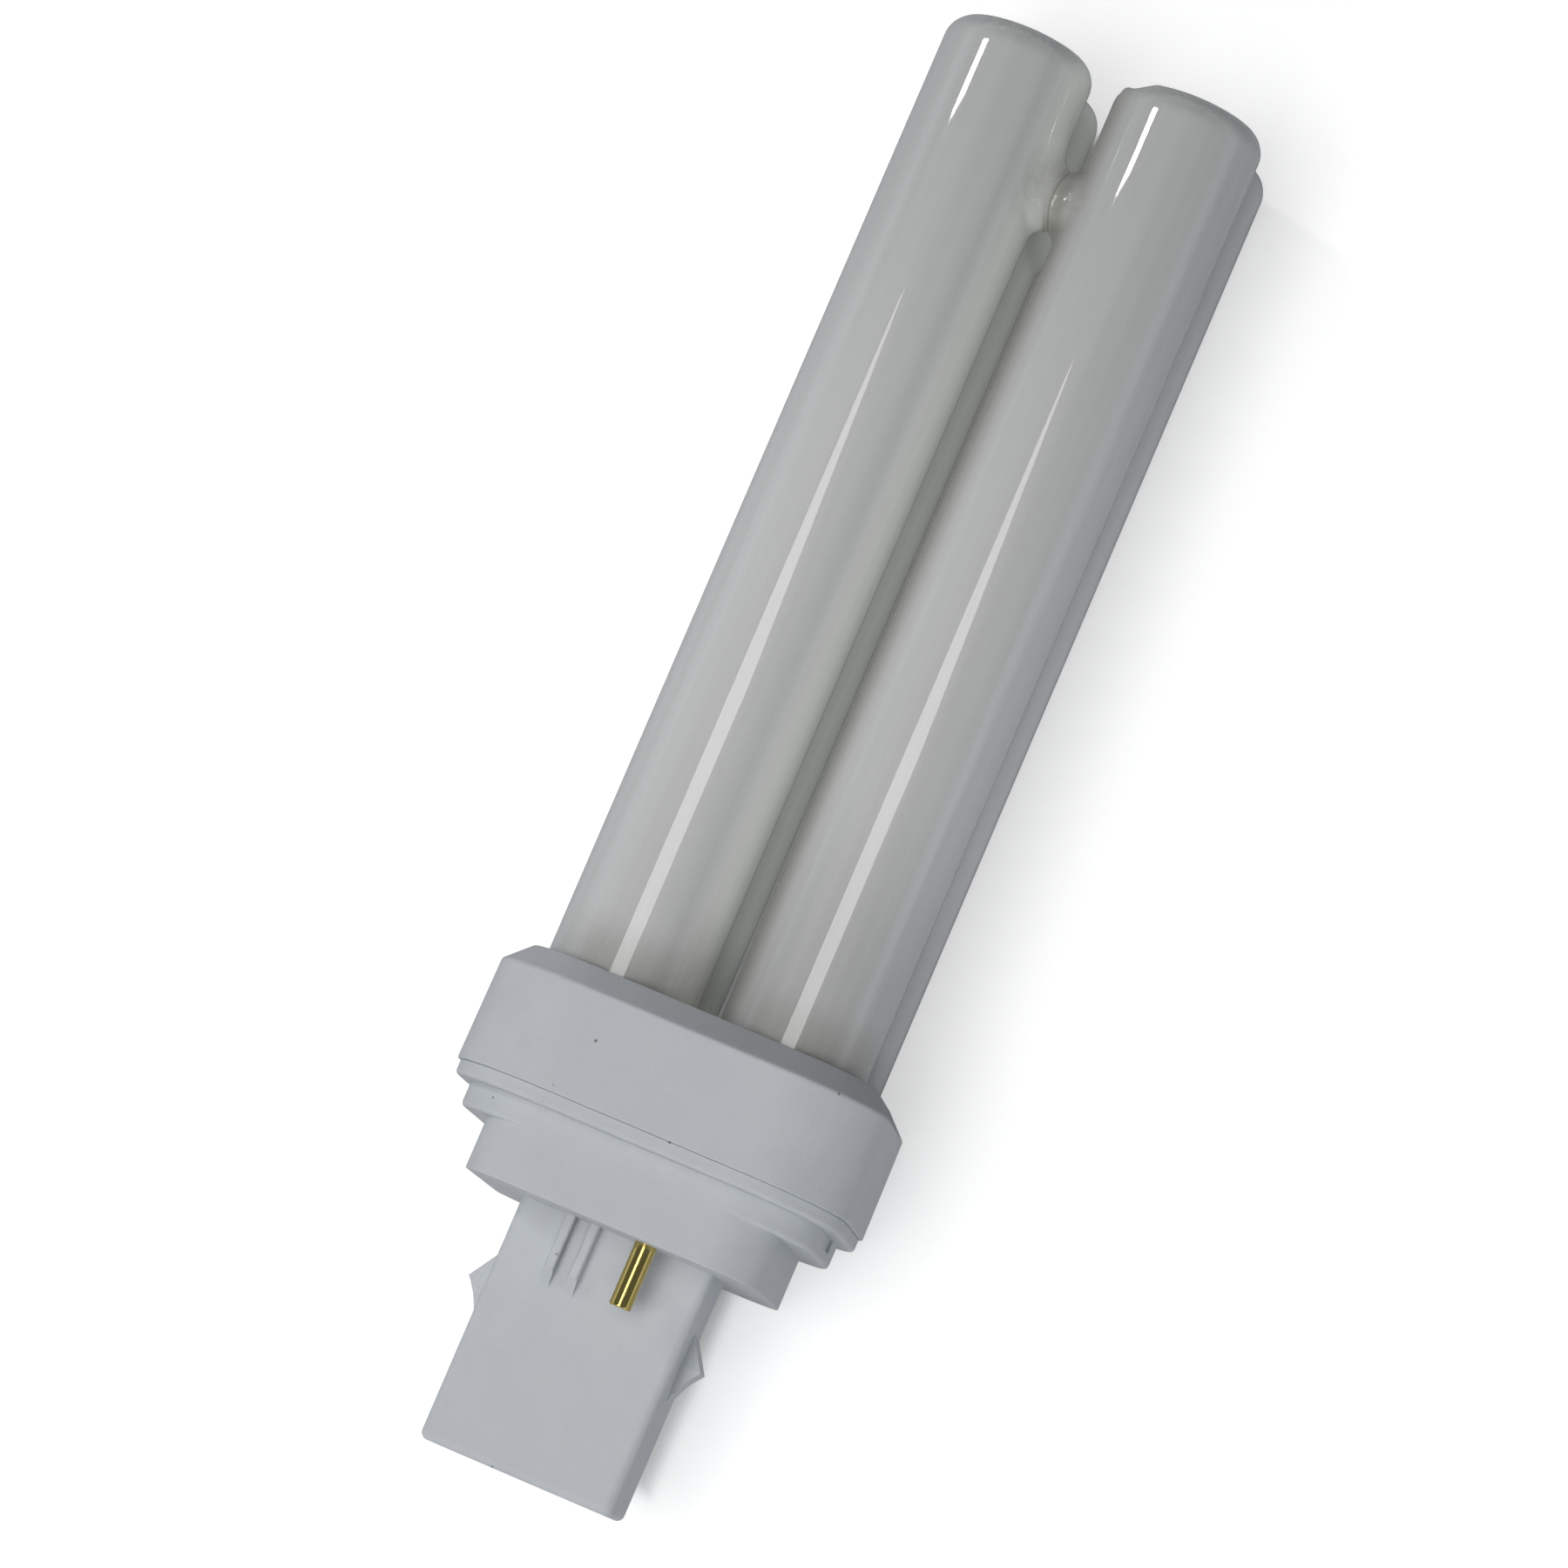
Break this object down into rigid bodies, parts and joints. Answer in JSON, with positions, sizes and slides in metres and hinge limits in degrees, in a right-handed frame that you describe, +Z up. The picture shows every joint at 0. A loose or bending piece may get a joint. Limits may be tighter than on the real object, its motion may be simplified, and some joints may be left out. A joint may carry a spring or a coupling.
{
  "type": "quad tube compact fluorescent lamp",
  "caption": "Plug-in compact fluorescent lamp: parallel white glass tubes bridged near the top, in a stepped grey plastic cap with a latching guide post and brass contact pins.",
  "frame": {"origin": "centre of the overall box on the floor that the lamp lies on", "axes": "+Y along the lamp from the plug to the tube ends, +Z up out of the side that has the visible pin, +X to the right across that side; the lamp lies on its back, about 2 degrees off level"},
  "size_m": [0.0422, 0.1544, 0.0425],
  "materials": {
    "milky_glass": "glossy, milky white coating seen through clear glass",
    "cap_plastic": "fine matte moulded",
    "brass": "polished",
    "cement": "matte",
    "clear_glass": "clear",
    "capacitor_case": "dull",
    "tinned_wire": "bright"
  },
  "bodies": {
    "root": {"base_shell": "cap_plastic", "capacitor": "capacitor_case", "capacitor_wire_back": "tinned_wire", "capacitor_wire_front": "tinned_wire", "cement_back_left": "cement", "cement_back_right": "cement", "cement_front_left": "cement", "cement_front_right": "cement", "collar_shell": "cap_plastic", "contact_pin_back": "brass", "contact_pin_front": "brass", "discharge_tube": "milky_glass", "pin_lead_back": "tinned_wire", "pin_lead_front": "tinned_wire", "start_lead_back": "tinned_wire", "start_lead_front": "tinned_wire", "starter_bottle": "clear_glass", "starter_wire_back": "tinned_wire", "starter_wire_front": "tinned_wire"}
  },
  "joints": []
}
